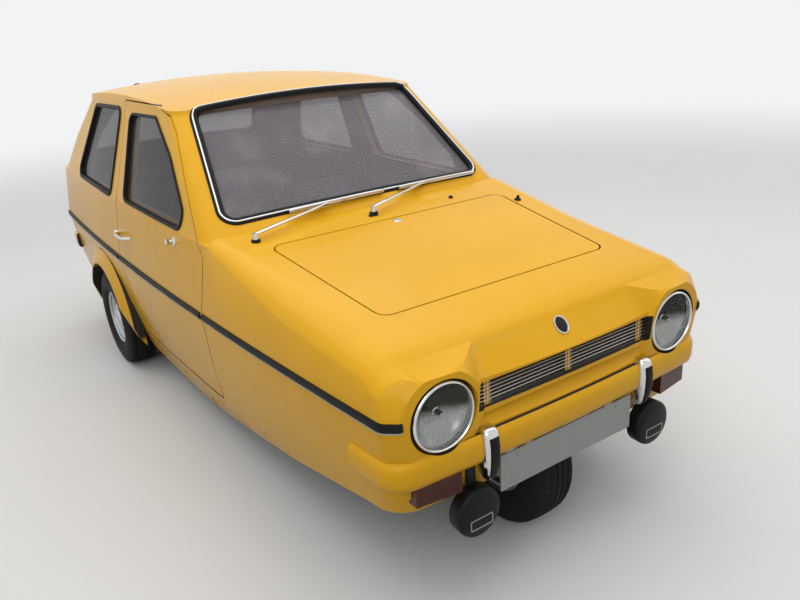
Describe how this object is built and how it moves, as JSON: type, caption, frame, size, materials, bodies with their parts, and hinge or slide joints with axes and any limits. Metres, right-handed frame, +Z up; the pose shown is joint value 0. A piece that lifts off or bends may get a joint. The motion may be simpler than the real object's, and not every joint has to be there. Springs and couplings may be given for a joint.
{
  "type": "three wheeled car",
  "caption": "Small three wheeled hatchback car with one steered front wheel, opening doors, bonnet lid and rear hatch, a hollow cabin with seats, and a ladder chassis.",
  "frame": {"origin": "on the ground below the middle of the car's length and width", "axes": "+Z up, -Y towards the nose, +X towards the car's left side"},
  "size_m": [1.422, 3.327, 1.372],
  "materials": {
    "body_paint": "gloss",
    "window_glass": "clear",
    "lamp_glass": "fluted",
    "bright_trim": "polished",
    "tyre_rubber": "matt",
    "wheel_steel": "satin",
    "seat_cover": "satin",
    "cabin_plastic": "matt",
    "grille_metal": "satin",
    "amber_lens": "gloss",
    "red_lens": "gloss",
    "plate_white": "satin",
    "black_rubber": "matt",
    "black_plastic": "matt",
    "inner_shell": "matt",
    "engine_metal": "rough",
    "exhaust_steel": "worn",
    "chassis_steel": "matt"
  },
  "bodies": {
    "car": {"bulkhead": "inner_shell", "chassis": "chassis_steel", "dashboard": "cabin_plastic", "engine": "engine_metal", "exhaust": "exhaust_steel", "floor_pan": "inner_shell", "fog_lamps": "black_plastic", "front_arm": "chassis_steel", "front_seats": "seat_cover", "front_spring": "chassis_steel", "fuel_tank": "chassis_steel", "gearbox": "engine_metal", "grille": "grille_metal", "headlamp_lenses": "lamp_glass", "headlamps": "bright_trim", "indicators": "amber_lens", "leaf_springs": "chassis_steel", "nose_panel": "body_paint", "number_plates": "plate_white", "overriders": "black_rubber", "propshaft": "chassis_steel", "quarter_glass": "window_glass", "quarter_left": "body_paint", "quarter_right": "body_paint", "rear_axle": "chassis_steel", "rear_bumper": "body_paint", "rear_lamps": "red_lens", "rear_seat": "seat_cover", "roof_frame": "body_paint", "scuttle": "body_paint", "sills": "body_paint", "steering_wheel": "cabin_plastic", "tail_panel": "body_paint", "wheelhouses": "inner_shell", "windscreen": "window_glass", "wing_left": "body_paint", "wing_right": "body_paint", "wipers": "bright_trim"},
    "door_left": {"door_glass_left": "window_glass", "door_handle_left": "bright_trim", "door_left": "body_paint"},
    "door_right": {"door_glass_right": "window_glass", "door_handle_right": "bright_trim", "door_right": "body_paint"},
    "bonnet_lid": {"bonnet_lid": "body_paint"},
    "hatch": {"hatch": "body_paint", "hatch_glass": "window_glass"},
    "knuckle": {"knuckle": "chassis_steel"},
    "front_wheel": {"rim_front": "wheel_steel", "tyre_front": "tyre_rubber"},
    "rear_wheel_left": {"rim_rear_left": "wheel_steel", "tyre_rear_left": "tyre_rubber"},
    "rear_wheel_right": {"rim_rear_right": "wheel_steel", "tyre_rear_right": "tyre_rubber"}
  },
  "joints": [
    {"name": "steering", "type": "hinge", "parent": "car", "child": "knuckle", "pos_m": [0.055, -1.362, 0.243], "axis": [0, 0, 1], "range_deg": [-30, 30]},
    {"name": "front_wheel_spin", "type": "hinge", "parent": "knuckle", "child": "front_wheel", "pos_m": [0, -1.362, 0.243], "axis": [1, 0, 0], "continuous": true},
    {"name": "rear_wheel_left_spin", "type": "hinge", "parent": "car", "child": "rear_wheel_left", "pos_m": [0.6225, 0.797, 0.243], "axis": [1, 0, 0], "continuous": true},
    {"name": "rear_wheel_right_spin", "type": "hinge", "parent": "car", "child": "rear_wheel_right", "pos_m": [-0.6225, 0.797, 0.243], "axis": [1, 0, 0], "continuous": true},
    {"name": "door_left_hinge", "type": "hinge", "parent": "car", "child": "door_left", "pos_m": [0.694, -0.609, 0.6], "axis": [0, 0, -1], "range_deg": [0, 65]},
    {"name": "door_right_hinge", "type": "hinge", "parent": "car", "child": "door_right", "pos_m": [-0.694, -0.609, 0.6], "axis": [0, 0, 1], "range_deg": [0, 65]},
    {"name": "bonnet_hinge", "type": "hinge", "parent": "car", "child": "bonnet_lid", "pos_m": [0, -1.367, 0.826], "axis": [1, 0, 0], "range_deg": [0, 60]},
    {"name": "hatch_hinge", "type": "hinge", "parent": "car", "child": "hatch", "pos_m": [0, 1.098, 1.312], "axis": [1, 0, 0], "range_deg": [0, 70]}
  ]
}
